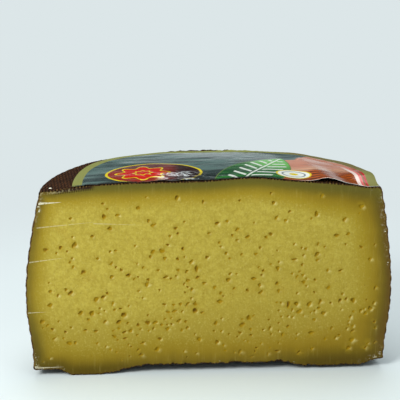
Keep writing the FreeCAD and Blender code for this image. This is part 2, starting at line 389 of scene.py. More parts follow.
def lit_lip(points, eyes, glint):
    """How strong the painted highlight round an eye's mouth is: most at its lower right, where light from
    the upper left catches the rim, gone 1.2 mm away.
    """
    away = points[:, None, :] - eyes[None, :, :2]
    distance = np.maximum(np.hypot(away[..., 0], away[..., 1]), 1e-6)
    facing = np.clip((0.86 * away[..., 0] - 0.51 * away[..., 1]) / distance, 0, 1)
    outside = distance - eyes[None, :, 2:4].mean(axis=-1)
    return (facing**1.5 * ease(1.25, 0.1, outside) * ease(-1, 0, outside) * glint).max(axis=1)


def make_paste():
    """The whole solid: the skin under the rind, the cut face round the eyes' mouths, and the eyes' bowls."""
    eyes = scatter_eyes()
    rings, depths, collar = eye_rings(eyes)
    count, levels, corners = rings.shape[:3]

    # A ring of points round every mouth, and a loose lattice between them, keep the triangles even.
    collar = collar[:, ::2].reshape(-1, 2)
    centres, reach = eyes[:, :2], eyes[:, 2:4].max(axis=1) * 1.35 + 0.18
    owner = np.repeat(np.arange(count), corners // 2)
    apart = np.hypot(*(collar[:, None] - centres[None]).transpose(2, 0, 1)) - reach[None]
    apart[np.arange(len(collar)), owner] = 1
    collar = collar[(apart.min(axis=1) > 0) & (rind_distance(collar) > 0.5)]
    rng = np.random.default_rng(5)
    lattice = np.stack(np.meshgrid(np.arange(-97, 98, 1.7), np.arange(1, 112, 1.7)), axis=-1).reshape(-1, 2)
    lattice = lattice + rng.uniform(-0.45, 0.45, lattice.shape)
    apart = np.hypot(*(lattice[:, None] - centres[None]).transpose(2, 0, 1)) - reach[None]
    lattice = lattice[((apart - 0.5).min(axis=1) > 0) & inside_outline(lattice)]
    lattice = lattice[rind_distance(lattice) > 0.9]

    # The face is triangulated with the outline and the mouths as fixed edges.
    mouths = rings[:, 0].reshape(-1, 2)
    flat = np.concatenate([outline, mouths, collar, lattice])
    border = np.arange(len(outline))
    loops = [together(border, np.roll(border, -1))]
    mouth_index = len(outline) + np.arange(len(mouths)).reshape(count, corners)
    loops.append(together(mouth_index, np.roll(mouth_index, -1, axis=1)).reshape(-1, 2))
    edges = np.concatenate(loops).tolist()
    found = delaunay_2d_cdt([Vector(p) for p in flat.tolist()], edges, [], 0, 1e-7)
    triangles = np.array([face for face in found[2] if len(face) == 3])
    flat = np.array([(p[0], p[1]) for p in found[0]])
    source = np.array([origin[0] if origin else -1 for origin in found[3]])
    a, b, c = (flat[triangles[:, k]] for k in range(3))
    area = (b[:, 0] - a[:, 0]) * (c[:, 1] - a[:, 1]) - (b[:, 1] - a[:, 1]) * (c[:, 0] - a[:, 0])
    triangles[area < 0] = triangles[area < 0][:, ::-1]

    # A triangle whose corners follow one mouth round, or that lies outside the outline, is left out.
    eye_of = np.full(len(flat), -1)
    is_mouth = (source >= len(outline)) & (source < len(outline) + len(mouths))
    eye_of[is_mouth] = (source[is_mouth] - len(outline)) // corners
    owners = eye_of[triangles]
    turns = (source[triangles] - len(outline)) % corners
    in_order = ((np.roll(turns, -1, axis=1) - turns) % corners).sum(axis=1) == corners
    in_eye = (owners[:, 0] >= 0) & (owners[:, 0] == owners[:, 1]) & (owners[:, 0] == owners[:, 2]) & in_order
    triangles = triangles[~in_eye]
    middles = flat[triangles].mean(axis=1)
    on_border = ((source[triangles] >= 0) & (source[triangles] < len(outline))).all(axis=1)
    keep = np.ones(len(triangles), bool)
    keep[on_border] = inside_outline(middles[on_border])
    triangles = triangles[keep]

    # The points of the face, then of the bowls, their bottoms and the skin.
    distance = rind_distance(flat)
    distance[(source >= 0) & (source < len(outline))] = 0
    # glint and lip weigh the painted highlight on the lower right rim of each eye's mouth.
    glint = rng.uniform(0.15, 1, count)
    lip = lit_lip(flat, eyes, glint)
    face = together(flat[:, 0], face_height(flat, distance), flat[:, 1])

    bowl_distance = np.repeat(rind_distance(eyes[:, :2]), levels * corners)
    bowl_flat = rings.reshape(-1, 2)
    mouth_y = face_height(rings[:, 0], rind_distance(mouths).reshape(count, corners))
    bowl_y = (mouth_y[:, None, :] + depths[:, :, None]).ravel()
    bowls = together(bowl_flat[:, 0], bowl_y, bowl_flat[:, 1])
    bottoms = rings[:, -1].mean(axis=1)
    bottom_y = mouth_y.mean(axis=1) + depths[:, -1] * 1.04
    bottom_points = together(bottoms[:, 0], bottom_y, bottoms[:, 1])

    first = len(face)
    index = first + np.arange(count * levels * corners).reshape(count, levels, corners)
    beside = np.roll(index, -1, axis=2)
    walls = together(index[:, :-1], beside[:, :-1], beside[:, 1:], index[:, 1:]).reshape(-1, 4)
    floor_index = first + index.size + np.arange(count)
    fans = together(index[:, -1], beside[:, -1], floor_index[:, None]).reshape(-1, 3)
    skin_first = first + index.size + count
    skin_faces = grid_faces(skin.shape[0], skin.shape[1], skin_first)

    points = np.concatenate([face, bowls, bottom_points, skin.reshape(-1, 3)])
    level = np.tile(np.repeat(np.linspace(0, 1, levels), corners), count)
    lip_fade = np.tile(np.repeat([1, 0.8, 0.4, 0, 0], corners), count)
    bowl_lip_highlight = lit_lip(bowl_flat, eyes, glint) * lip_fade
    zero = np.zeros(skin.size // 3)
    attributes = {
        "rind_distance": np.concatenate([distance, bowl_distance, rind_distance(eyes[:, :2]), zero]),
        "eye_depth": np.concatenate([np.zeros(len(face)), level, np.ones(count), zero]),
        "eye_lip_highlight": np.concatenate([lip, bowl_lip_highlight, np.zeros(count), zero]),
        "eye_halo": np.concatenate([near_eye(flat, eyes), np.ones(len(bowl_lip_highlight)), np.ones(count), zero]),
    }
    return make_piece("paste", points, [triangles, walls, fans, skin_faces], attributes, sharp=60)


paste = make_paste()


def paint(red, green, blue):
    """A colour as the eye sees it, 0 to 255, in the linear numbers that a shader takes."""
    shares = [c / 255 for c in (red, green, blue)]
    return tuple(c / 12.92 if c <= 0.04 else ((c + 0.055) / 1.055) ** 2.4 for c in shares) + (1,)


def arithmetic(operation, turned_round=False):
    """A method that adds one Math node on a wire and another value, or on the two turned round."""

    def method(self, other):
        return self.math(operation, *((other, self) if turned_round else (self, other)))

    return method


class Wire:
    """An output socket of a material's node. Arithmetic on wires and numbers adds Math nodes."""

    def __init__(self, socket):
        self.socket = socket

    def node(self, kind, settings=None, values=None, output=0):
        """Adds a shader node of this kind: its settings first, then its sockets' values or wires."""
        tree = self.socket.id_data
        node = tree.nodes.new("ShaderNode" + kind)
        for name, value in (settings or {}).items():
            setattr(node, name, value)
        for key, value in (values or {}).items():
            if isinstance(value, Wire):
                tree.links.new(value.socket, node.inputs[key])
            else:
                node.inputs[key].default_value = value
        return Wire(node.outputs[output])

    def math(self, operation, *values):
        """One Math node on these values."""
        return self.node("Math", {"operation": operation}, dict(enumerate(values)))

    __add__ = __radd__ = arithmetic("ADD")
    __sub__ = arithmetic("SUBTRACT")
    __rsub__ = arithmetic("SUBTRACT", turned_round=True)
    __mul__ = __rmul__ = arithmetic("MULTIPLY")
    __truediv__ = arithmetic("DIVIDE")
    __rtruediv__ = arithmetic("DIVIDE", turned_round=True)
    __pow__ = arithmetic("POWER")
    least = arithmetic("MINIMUM")
    most = arithmetic("MAXIMUM")

    def __abs__(self):
        return self.math("ABSOLUTE", self)

    def sine(self):
        """The sine of this angle in radians."""
        return self.math("SINE", self)

    def cosine(self):
        """The cosine of this angle in radians."""
        return self.math("COSINE", self)

    def ease(self, low, high):
        """0 at low and 1 at high, with a smooth S between, in either order."""
        values = {"Value": self, "From Min": low, "From Max": high}
        return self.node("MapRange", {"interpolation_type": "SMOOTHSTEP"}, values)

    def mix(self, first, second):
        """The first colour where this wire is 0 and the second where it is 1."""
        values = {0: self, 6: first, 7: second}
        return self.node("Mix", {"data_type": "RGBA"}, values, output=2)

    def noise(self, scale, detail=3, roughness=0.55):
        """Noise from 0 to 1 on this position, with this many lumps to a unit."""
        values = {"Vector": self, "Scale": scale, "Detail": detail, "Roughness": roughness}
        return self.node("TexNoise", None, values)

    def relief(self, strength, distance):
        """A normal that this height bends, its full height being the distance in metres."""
        values = {"Strength": strength, "Distance": distance, "Height": self}
        return self.node("Bump", None, values)

    def stretched(self, x, y, z):
        """This position with each axis multiplied."""
        return self.node("VectorMath", {"operation": "MULTIPLY"}, {0: self, 1: (x, y, z)})

    def axes(self):
        """The three numbers of this position."""
        parts = self.node("SeparateXYZ", None, {0: self}).socket.node
        return tuple(Wire(parts.outputs[k]) for k in range(3))


def start_finish(name):
    """A new material, its shader node, and its place in millimetres from the axis at the cut."""
    material = bpy.data.materials.new(name)
    material.use_nodes = True
    shader = material.node_tree.nodes["Principled BSDF"]
    place = Wire(shader.outputs[0]).node("TexCoord", output=3)
    scaled = place.node("VectorMath", {"operation": "SCALE"}, {0: place, "Scale": 1 / MM})
    values = {0: scaled, 1: (0, cut_y, 0)}
    position = scaled.node("VectorMath", {"operation": "SUBTRACT"}, values)
    return material, shader, position


def attribute(position, name, output=2):
    """What the mesh carries at its points under this name: a number, or a vector with output 1."""
    return position.node("Attribute", {"attribute_name": name}, output=output)


def connect(shader, **sockets):
    """Links wires to a shader's sockets and sets plain values on them. Underscores stand for spaces."""
    for name, value in sockets.items():
        socket = shader.inputs[name.replace("_", " ")]
        if isinstance(value, Wire):
            shader.id_data.links.new(value.socket, socket)
        else:
            socket.default_value = value


def scrape(position, start, end, width):
    """1 along a scrape from start to end on the cut, (x, z) each, tapering to its end, and 0 beside it."""
    x, _, z = position.axes()
    length = math.dist(start, end)
    along_x, along_z = (end[0] - start[0]) / length, (end[1] - start[1]) / length
    u = (x - start[0]) * along_x + (z - start[1]) * along_z
    v = abs((z - start[1]) * along_x - (x - start[0]) * along_z)
    taper = (1 - u / length).most(0).least(1)
    return (v / (taper * width + 0.02)).ease(1, 0.35) * u.ease(-0.6, 0.2) * u.ease(length, length - 1)


def band(value, low, high, soft=0.35):
    """1 where the value lies between low and high, with soft borders."""
    return value.ease(low - soft, low + soft) * value.ease(high + soft, high - soft)


def layered(colour, layers):
    """A colour under thin layers, each a cover from 0 to 1 and a tint, which is a wire or 0 to 255."""
    for cover, tint in layers:
        colour = cover.mix(colour, tint if isinstance(tint, Wire) else paint(*tint))
    return colour


def paste_finish():
    """Cured paste: satin, yellow, darker and greener to the rind, with knife streaks and dry scrapes;
    painted shade darkens it to the lower right, along the bottom and in the eyes, and painted highlights sit
    on the eyes' lower right lips.
    """
    material, shader, position = start_finish("paste")
    noise = position.noise
    x, _, z = position.axes()
    distance = attribute(position, "rind_distance")
    eye = attribute(position, "eye_depth")
    lip = attribute(position, "eye_lip_highlight")
    halo = attribute(position, "eye_halo")
    # The dark zone by the rind widens to the right, at the bottom and under the label's edge: partly drier
    # paste, partly painted shade away from the light at the upper left.
    right, low, high = x.ease(20, 92), z.ease(46, 6), z.ease(78, 100) * x.ease(-84, -40)
    wander = noise(0.06, 2) * 3 - 1.5
    inward = distance * (1.45 - right * 0.75 - low * 0.66 - high * 0.32).most(0.42)
    inward = inward + wander * distance.ease(0.5, 6)
    inward = inward + x.ease(-40, -90) * band(z, 26, 90, 14) * 1.2
    middle = band(x, -46, 48, 16)
    inward = inward + z.ease(16, 5) * middle * 3
    inner = distance.ease(2, 9)
    colour = layered(paint(90, 68, 26), (
        (inward.ease(0, 2.6), (100, 84, 24)),
        (inward.ease(1.5, 6), (132, 110, 27)),
        (inward.ease(4, 11), (160, 138, 38)),
        (inward.ease(8.5, 19), (194, 178, 80)),
        (z.ease(90, 103) * x.ease(-98, -60) * distance.ease(10, 0) * 0.6, (92, 94, 36)),
        (x.ease(-86, -96) * z.ease(6, 30) * 0.35, (140, 122, 40)),
        (x.ease(-82, -97) * z.ease(48, 20) * 0.5, (70, 66, 22)),
        # Painted shade along the bottom, darkest towards the lower corners, with some drier paste there.
        (z.ease(17, 3) * (0.70 - middle * 0.50), (74, 62, 6)),
    ))
    # foot is the colour of painted shade over the lower face, with some drier paste, browner to the right.
    foot = x.ease(-70, 80).mix(paint(130, 112, 32), paint(124, 92, 18))
    knife = position.stretched(1, 1, 0.07).noise(0.6, 4, 0.7).ease(0.50, 0.74)
    knife = knife * (inward.ease(13, 3) * 0.13 + 0.06) * noise(0.12, 2).ease(0.35, 0.65)
    flat = position.stretched(1, 0, 1)
    cells = flat.node("TexVoronoi", None, {"Vector": flat, "Scale": 0.42})
    clusters = noise(0.11, 2).ease(0.42, 0.66) * z.ease(96, 60) * inward.ease(3, 10)
    pits = cells.ease(0.26, 0.08) * clusters
    colour = layered(colour, (
        # Painted shade: the lower face darker, as under light from above over a dark table, with some drier
        # paste near the rind.
        (z.ease(46, 19) * inward.ease(2, 10) * 0.58, foot),
        # Painted shade: the paste darker towards the lower right, away from the light.
        (x.ease(-60, 60) * z.ease(100, 30) * inward.ease(3, 14) * 0.5, (156, 136, 50)),
        (noise(0.23, 4).ease(0.30, 0.68) * inward.ease(5, 15) * 0.5, (160, 142, 50)),
        (noise(0.62, 3, 0.6).ease(0.40, 0.66) * inward.ease(3, 12) * 0.4, (146, 128, 42)),
        (noise(0.9, 4, 0.65).ease(0.50, 0.72) * inward.ease(5, 14) * 0.42, (208, 196, 110)),
        (noise(0.055, 2).ease(0.60, 0.78) * inward.ease(4, 12) * 0.16, (178, 130, 40)),
        (knife, (186, 172, 96)),
        # Painted shade in the faint pits, which the bump also sinks.
        (pits * 0.6, (140, 112, 26)),
        # Painted shade in and round the eyes: a darker halo round each mouth, darker bowls and the darkest
        # bottoms in some; the bowls' golden brown is also the moist paste's own colour.
        (halo * inner * 0.6, (152, 128, 28)),
        (eye.ease(-0.2, 0.4) * (0.25 + inner * 0.75), (152, 122, 10)),
        (eye.ease(0.3, 0.9) * noise(0.13, 1).ease(0.45, 0.66), (114, 81, 5)),
        # Painted highlight on the lower right lip of each eye's mouth.
        (lip.ease(0.05, 1.1) * eye.ease(0.5, 0.1) * (0.2 + inner * 0.42), (222, 211, 140)),
    ))

    dry = (214, 208, 180)
    broken = noise(1.1, 3).ease(0.28, 0.50)
    for start, end, width, strength in (
        ((-93.5, 98.4), (-78.5, 99.1), 1, 1.3),
        ((-93.8, 97.6), (-89.5, 96.6), 1.4, 0.9),
        ((-92, 85.2), (-60, 88), 0.45, 0.35),
        ((-62, 87), (-34, 85.5), 0.40, 0.3),
        ((-97, 66), (-78, 68.2), 0.45, 0.5),
        ((-98.5, 37.3), (-88, 37.6), 0.40, 0.5),
        ((-96.5, 5), (-80, 5.2), 0.60, 0.7),
    ):
        scraped = scrape(position, start, end, width) * broken * strength
        colour = layered(colour, ((scraped, dry),))
    fray = distance.ease(3.4, 0.4) * noise(0.45, 4).ease(0.50, 0.66)
    corners = z.ease(84, 96) * abs(x).ease(84, 92) * 0.35
    corners = (z.ease(16, 3) * abs(x).ease(80, 94)).most(corners)
    corners = corners.most(z.ease(56, 90) * x.ease(84, 92) * 0.45)
    teeth = (x * (2 * math.pi / 0.93) + noise(0.4, 2) * 3).sine()
    comb = distance.ease(2.4, 1.6) * z.ease(98, 102) * band(x, -82, -62, 2)
    crust = distance.ease(1.6, 0.8) * z.ease(96, 101) * x.ease(-64, -78)
    crust = crust * noise(0.8, 3).ease(0.46, 0.60)
    colour = layered(colour, (
        (fray * corners * 0.75, dry),
        (teeth.ease(-0.4, 0.4).most(distance.ease(1.3, 0.8)) * comb, (46, 28, 16)),
        (crust * 0.4, (190, 178, 130)),
    ))
    connect(shader, Base_Color=colour, Roughness=noise(0.5, 3) * 0.16 + 0.40)
    grain = noise(2.2, 4) * 0.35 + position.stretched(1, 1, 0.08).noise(1.3, 2) * 0.5 - pits
    connect(shader, Normal=grain.relief(0.35, 0.0004), Specular_IOR_Level=0.10)
    connect(shader, Subsurface_Weight=0.12, Subsurface_Radius=(1, 0.75, 0.3), Subsurface_Scale=0.002)
    return material


paste.data.materials.append(paste_finish())
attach(paste, "root")
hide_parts("cheese")


# ------------------------------
# Crumbs
# Dry scraps of paste and rind that the knife dragged along and left hanging at the edges of the
# cut, most of them at the two lower corners and the upper left one, and one flake on the crown.
# ------------------------------


def crumb_places():
    """Centres and half sizes: the flake on the crown, then scraps close to the cut's outline."""
    rng = np.random.default_rng(8)
    flake_x, flake_y = -84.6, 4.4
    centres = [np.array([(flake_x, flake_y, crown_height(flake_x, flake_y) + 0.2)])]
    halves = [np.array([(1.1, 0.9, 0.35)])]
    for low_x, high_x, low_z, high_z, reach, count, length in (
        (-99, -80, 2, 7, 0.9, 90, 1),
        (-99, -92, 2, 20, 0.8, 40, 0.5),
        (-96, -88, 93, 100, 1.6, 40, 0.7),
        (-88, -76, 102, 106, 0.8, 26, 0.4),
        (86, 99, 2, 14, 0.9, 40, 0.5),
        (88, 98, 60, 103, 0.9, 44, 0.5),
        (-40, 60, 1, 8, 0.6, 40, 0.6),
    ):
        spots = together(rng.uniform(low_x, high_x, 6000), rng.uniform(low_z, high_z, 6000))
        spots = spots[inside_outline(spots)]
        spots = spots[rind_distance(spots) < reach][:count]
        size = rng.uniform(0.16, 0.38, (len(spots), 1))
        centres.append(together(spots[:, 0], 0.16, spots[:, 1]))
        stretch = rng.uniform(0.6, 1.4, (len(spots), 3)) * np.array([1 + length, 0.4, 1])
        halves.append(np.minimum(size * stretch, np.array([2, 0.15, 2])))
    return np.concatenate(centres), np.concatenate(halves)


def make_crumbs():
    """Every scrap as a closed lump: a coarse globe with a random swing of its radius."""
    centres, halves = crumb_places()
    rng = np.random.default_rng(9)
    around, rings = 8, 4
    tilt = np.pi * (np.arange(rings) + 1) / (rings + 1)
    turn = 2 * np.pi * np.arange(around) / around
    girth, up = np.sin(tilt)[:, None], np.cos(tilt)[:, None]
    circles = together(girth * np.cos(turn), girth * np.sin(turn), up)
    globe = np.concatenate([circles.reshape(-1, 3), [(0, 0, 1), (0, 0, -1)]])
    swing = rng.uniform(0.7, 1, (len(centres), len(globe), 1))
    points = (centres[:, None] + globe * swing * halves[:, None]).reshape(-1, 3)
    first = np.arange(len(centres))[:, None, None] * len(globe)
    j = np.arange(around)
    beside = (j + 1) % around
    i = np.arange(rings - 1)[:, None] * around
    sides = together(i + j, i + around + j, i + around + beside, i + beside).reshape(-1, 4)
    north, last = rings * around, (rings - 1) * around
    caps = np.concatenate([together(j, beside, north), together(last + beside, last + j, north + 1)])
    faces = [(first + sides).reshape(-1, 4), (first + caps).reshape(-1, 3)]
    tone = np.repeat(rng.uniform(0, 1, len(centres)), len(globe))
    tone[: len(globe)] = 1
    return make_piece("crumbs", points, faces, {"tone": tone})


crumbs = make_crumbs()


def crumb_finish():
    """Dry scraps: matt, from the paste's own yellow to white."""
    material, shader, position = start_finish("crumbs")
    colour = layered(paint(150, 138, 84), (
        (attribute(position, "tone").ease(0, 0.9), (226, 224, 206)),
        (position.noise(2.4, 3).ease(0.4, 0.7) * 0.4, (168, 160, 112)),
    ))
    rough_skin = 0.70 + position.noise(1.3, 2) * 0.2
    connect(shader, Base_Color=colour, Roughness=rough_skin, Specular_IOR_Level=0.2)
    return material


crumbs.data.materials.append(crumb_finish())
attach(crumbs, "root")
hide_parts("cheese")


# ------------------------------
# Rind
# The dry brown skin that the paste grew while it cured, half a millimetre thick. It keeps the
# prints of what pressed it: a plaited belt round the side, and cheesecloth on the top and base.
# It is made as three thin closed shells, base, side and crown, that meet at the heel and the rim.
# ------------------------------


def make_shell(name, part, steps, columns, tone):
    """A closed shell between the outer skin, in fine columns, and the inner face, in coarse ones.

    Both grids have the same rows. Strips from row to row close the two ends on the cut, and fans from each
    coarse column to the fine columns beside it close an open first or last row.
    """
    per_coarse = round(columns / (len(coarse_angles) - 1))
    t = np.linspace(0, 1, (len(coarse_angles) - 1) * per_coarse + 1)
    fine_angles = np.interp(t, np.linspace(0, 1, len(coarse_angles)), coarse_angles)
    outer = part(steps, fine_angles, 0)
    inner = part(steps, coarse_angles, np.full(len(coarse_angles), rind_thickness))
    rows, fine, coarse = outer.shape[0], outer.shape[1], inner.shape[1]
    first = rows * fine
    faces = [grid_faces(rows, fine), grid_faces(rows, coarse, first)[:, ::-1]]
    i = np.arange(rows - 1)
    right_outer, right_inner = i * fine, first + i * coarse
    faces.append(together(right_outer, right_outer + fine, right_inner + coarse, right_inner))
    left_outer, left_inner = i * fine + fine - 1, first + i * coarse + coarse - 1
    faces.append(together(left_outer, left_inner, left_inner + coarse, left_outer + fine))
    j = np.arange(coarse - 1)[:, None]
    fan = j * per_coarse + np.arange(per_coarse + 1)
    for row, turned_over in ((0, False), (rows - 1, True)):
        if np.hypot(*outer[row, 0, :2]) < 1e-6:
            continue
        inner_pair = first + row * coarse + np.concatenate([j + 1, j], axis=1)
        fans = np.concatenate([row * fine + fan, inner_pair], axis=1)
        faces.append(fans if turned_over else fans[:, ::-1])
    points = np.concatenate([outer.reshape(-1, 3), inner.reshape(-1, 3)])
    arc = belly_radius * np.arctan2(points[:, 1], points[:, 0])
    belt = together(arc, points[:, 2], tone(points, arc))
    shell = make_piece(name, points, faces, {"belt": belt}, sharp=62)
    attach(shell, "root")
    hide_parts("cheese")
    return shell


def belt_tone(points, arc):
    """How high each point of the side lies in the belt's print, from 0 to 1."""
    return belt_print(points[:, 2], arc)


def cloth_tone(points, arc):
    """How high each point of the top or base lies in the cloth's print, from 0 to 1."""
    return 0.5 + 0.5 * weave(points[:, 0], points[:, 1])


rind_base = make_shell("rind_base", wheel_base, base_steps, 300, cloth_tone)
rind_side = make_shell("rind_side", wheel_side, side_steps, 500, belt_tone)
rind_crown = make_shell("rind_crown", wheel_crown, crown_steps, 640, cloth_tone)

thread_pitch = 0.85


def rind_finish(name, ridge, groove, dust, fibres):
    """Dry rind: darker in the print's grooves, dusty on its ridges, with blotches, and fibres or threads."""
    material, shader, position = start_finish(name)
    noise = position.noise
    belt = attribute(position, "belt", output=1)
    relief = belt.axes()[2]
    x, y, _ = position.axes()
    section = noise(0.5, 4).ease(0.42, 0.62).mix(paint(66, 44, 24), paint(112, 88, 46))
    colour = relief.ease(0.15, 0.85).mix(groove, ridge)
    colour = (noise(0.075, 4).ease(0.42, 0.68) * 0.45).mix(colour, groove)
    pale = noise(0.16, 5, 0.65).ease(0.54, 0.72) * relief.ease(0.25, 0.9)
    colour = (pale * 0.6).mix(colour, dust)
    colour = (noise(1.4, 3).ease(0.60, 0.72) * 0.35).mix(colour, dust)
    colour = y.ease(0.05, 0.02).mix(colour, section)
    if fibres:
        grain = belt.stretched(1, 1, 0).noise(1.1, 3, 0.7) + noise(2.6, 3) * 0.4
    else:
        pull = noise(0.35, 2) * 3
        u, v = (way * (math.pi / thread_pitch) + pull for way in (x + y * 0.10, y - x * 0.10))
        threads = u.sine() * (v.sine() * 0.6 + 0.4)
        colour = (threads.ease(-0.2, 0.3) * 0.95).mix(colour, groove)
        grain = threads * 0.25 + noise(1.9, 3, 0.65)
    connect(shader, Base_Color=colour, Roughness=0.62 + noise(0.4, 2) * 0.2)
    connect(shader, Normal=grain.relief(0.55, 0.0004), Specular_IOR_Level=0.05)
    return material


belt_rind = rind_finish("rind_side", paint(124, 98, 56), paint(58, 40, 24), paint(176, 164, 130), True)
cloth_rind = rind_finish("rind_cloth", paint(100, 64, 38), paint(16, 9, 6), paint(106, 72, 44), False)
rind_side.data.materials.append(belt_rind)
rind_crown.data.materials.append(cloth_rind)
rind_base.data.materials.append(cloth_rind)


# ------------------------------
# Label
# A round printed paper label, glued to the crown and cut through with the cheese. The paper is
# stiff and varnished: it buckles near its right end, stands off the rim there and shows its white
# edge, and it is crumpled at the cut left of the middle.
# ------------------------------

label_low, label_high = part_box("label")
label_x = (label_low.x + label_high.x) / 2 / MM + 0.6
label_half_width = (label_high.x - label_low.x) / 2 / MM - 0.8
label_depth = 86.5
paper_thickness = 0.2
paper_clearance = 0.30
border_width = 5.2
buckle_x = 62.5
buckle_rise = 2.3


def paper_height(x, y):
    """Height of the paper's underside: the crown, a buckle, the lift at the right, ripples and crumples."""
    radius = np.hypot(x, y)
    azimuth = np.degrees(np.arctan2(y, x))
    ridge = x - buckle_x + 0.10 * y
    buckle = buckle_rise * bump(ridge, np.where(ridge < 0, 6, 9)) * (0.25 + 0.75 * bump(y, 38))
    lift = 2.9 * bump(azimuth - 9, 9) + 1.6 * bump(azimuth - 26, 13)
    lift = (lift + 0.7 * bump(azimuth - 56, 12)) * ease(70, 87, radius) * ease(2, 13, y)
    droop = 0.6 * ease(87, 95, radius) * ease(2, 10, y)
    ripples = 0.14 * rough(x, y, 11, 51) + 0.08 * rough(x * 0.5, y, 4.5, 52)
    fold = 1 - np.abs(rough(x + 0.7 * y, y - 0.3 * x, 6.5, 53)) * 2.2
    crumple = 1.1 * np.clip(fold, 0, 1) * bump(x + 19, 17) * bump(y - 8, 9)
    edge = 0.3 * np.abs(rough(x, 0, 6.5, 54)) * bump(y, 9) * ease(54, 30, x)
    clearance = paper_clearance - 0.12 * ease(40, 80, y)
    return crown_height(x, y) + clearance + np.abs(ripples) + buckle + lift + crumple + edge - droop


def label_share(u, v):
    """How much of the way from the middle of the cut to the paper's outline a point lies, and how far in.

    The outline is a rounded square: the n-th powers of the shares of its half width and its depth add up to
    one. The distance is the share that is left, divided by the slope of the share.
    """
    power = np.where(u < 0, 2.55, 2.45)
    a, b = np.abs(u) / label_half_width, np.abs(v) / label_depth
    share = np.maximum(a**power + b**power, 1e-12) ** (1 / power)
    slope = np.hypot((a / share) ** (power - 1) / label_half_width, (b / share) ** (power - 1) / label_depth)
    return share, (1 - share) / slope


def make_label():
    """The paper as a fan of rays from the middle of its cut edge to its outline, closed all round."""
    rings, rays = 92, 430
    angle = np.linspace(0, math.pi, rays)
    reach = 1 / label_share(np.cos(angle), np.sin(angle))[0]
    out = np.linspace(0, 1, rings)[:, None] * reach
    u, v = out * np.cos(angle), out * np.sin(angle)
    inset = label_share(u, v)[1].ravel()
    x, y = label_x + u, v
    torn = 0.25 * np.abs(rough(x, y, 1.6, 55)) + 0.25 * np.abs(rough(x, y, 5, 56))
    y = y + torn * bump(y, 1)
    under = paper_height(x, y)
    top, bottom = (together(x, y, height) for height in (under + paper_thickness, under))
    first = rings * rays
    faces = [grid_faces(rings, rays)[:, ::-1], grid_faces(rings, rays, first)]
    outer = (rings - 1) * rays + np.arange(rays - 1)
    faces.append(together(outer, outer + 1, first + outer + 1, first + outer)[:, ::-1])
    i = np.arange(rings - 1)
    for column, turned_over in ((0, False), (rays - 1, True)):
        inner_end, outer_end = i * rays + column, (i + 1) * rays + column
        strip = together(inner_end, outer_end, first + outer_end, first + inner_end)
        faces.append(strip if turned_over else strip[:, ::-1])
    points = np.concatenate([top.reshape(-1, 3), bottom.reshape(-1, 3)])
    printed = np.concatenate([np.ones(first), np.zeros(first)])
    attributes = {"printed": printed, "inset": np.concatenate([inset, inset])}
    return make_piece("label_paper", points, faces, attributes, sharp=55)


label = make_label()


def leaf(x, y, base, tip, half_width):
    """A pointed leaf from base to tip: how far a place lies inside its outline, along its rib and off it."""
    length = math.dist(base, tip)
    along_x, along_y = (tip[0] - base[0]) / length, (tip[1] - base[1]) / length
    along = (x - base[0]) * along_x + (y - base[1]) * along_y
    off = abs((y - base[1]) * along_x - (x - base[0]) * along_y)
    return along * (1 - along / length) * (4 * half_width / length) - off, along, off


def away_from(u, v):
    """The distance of the place (u, v) from its origin, and its direction in radians."""
    return (u * u + v * v) ** 0.5, v.math("ARCTAN2", v, u)


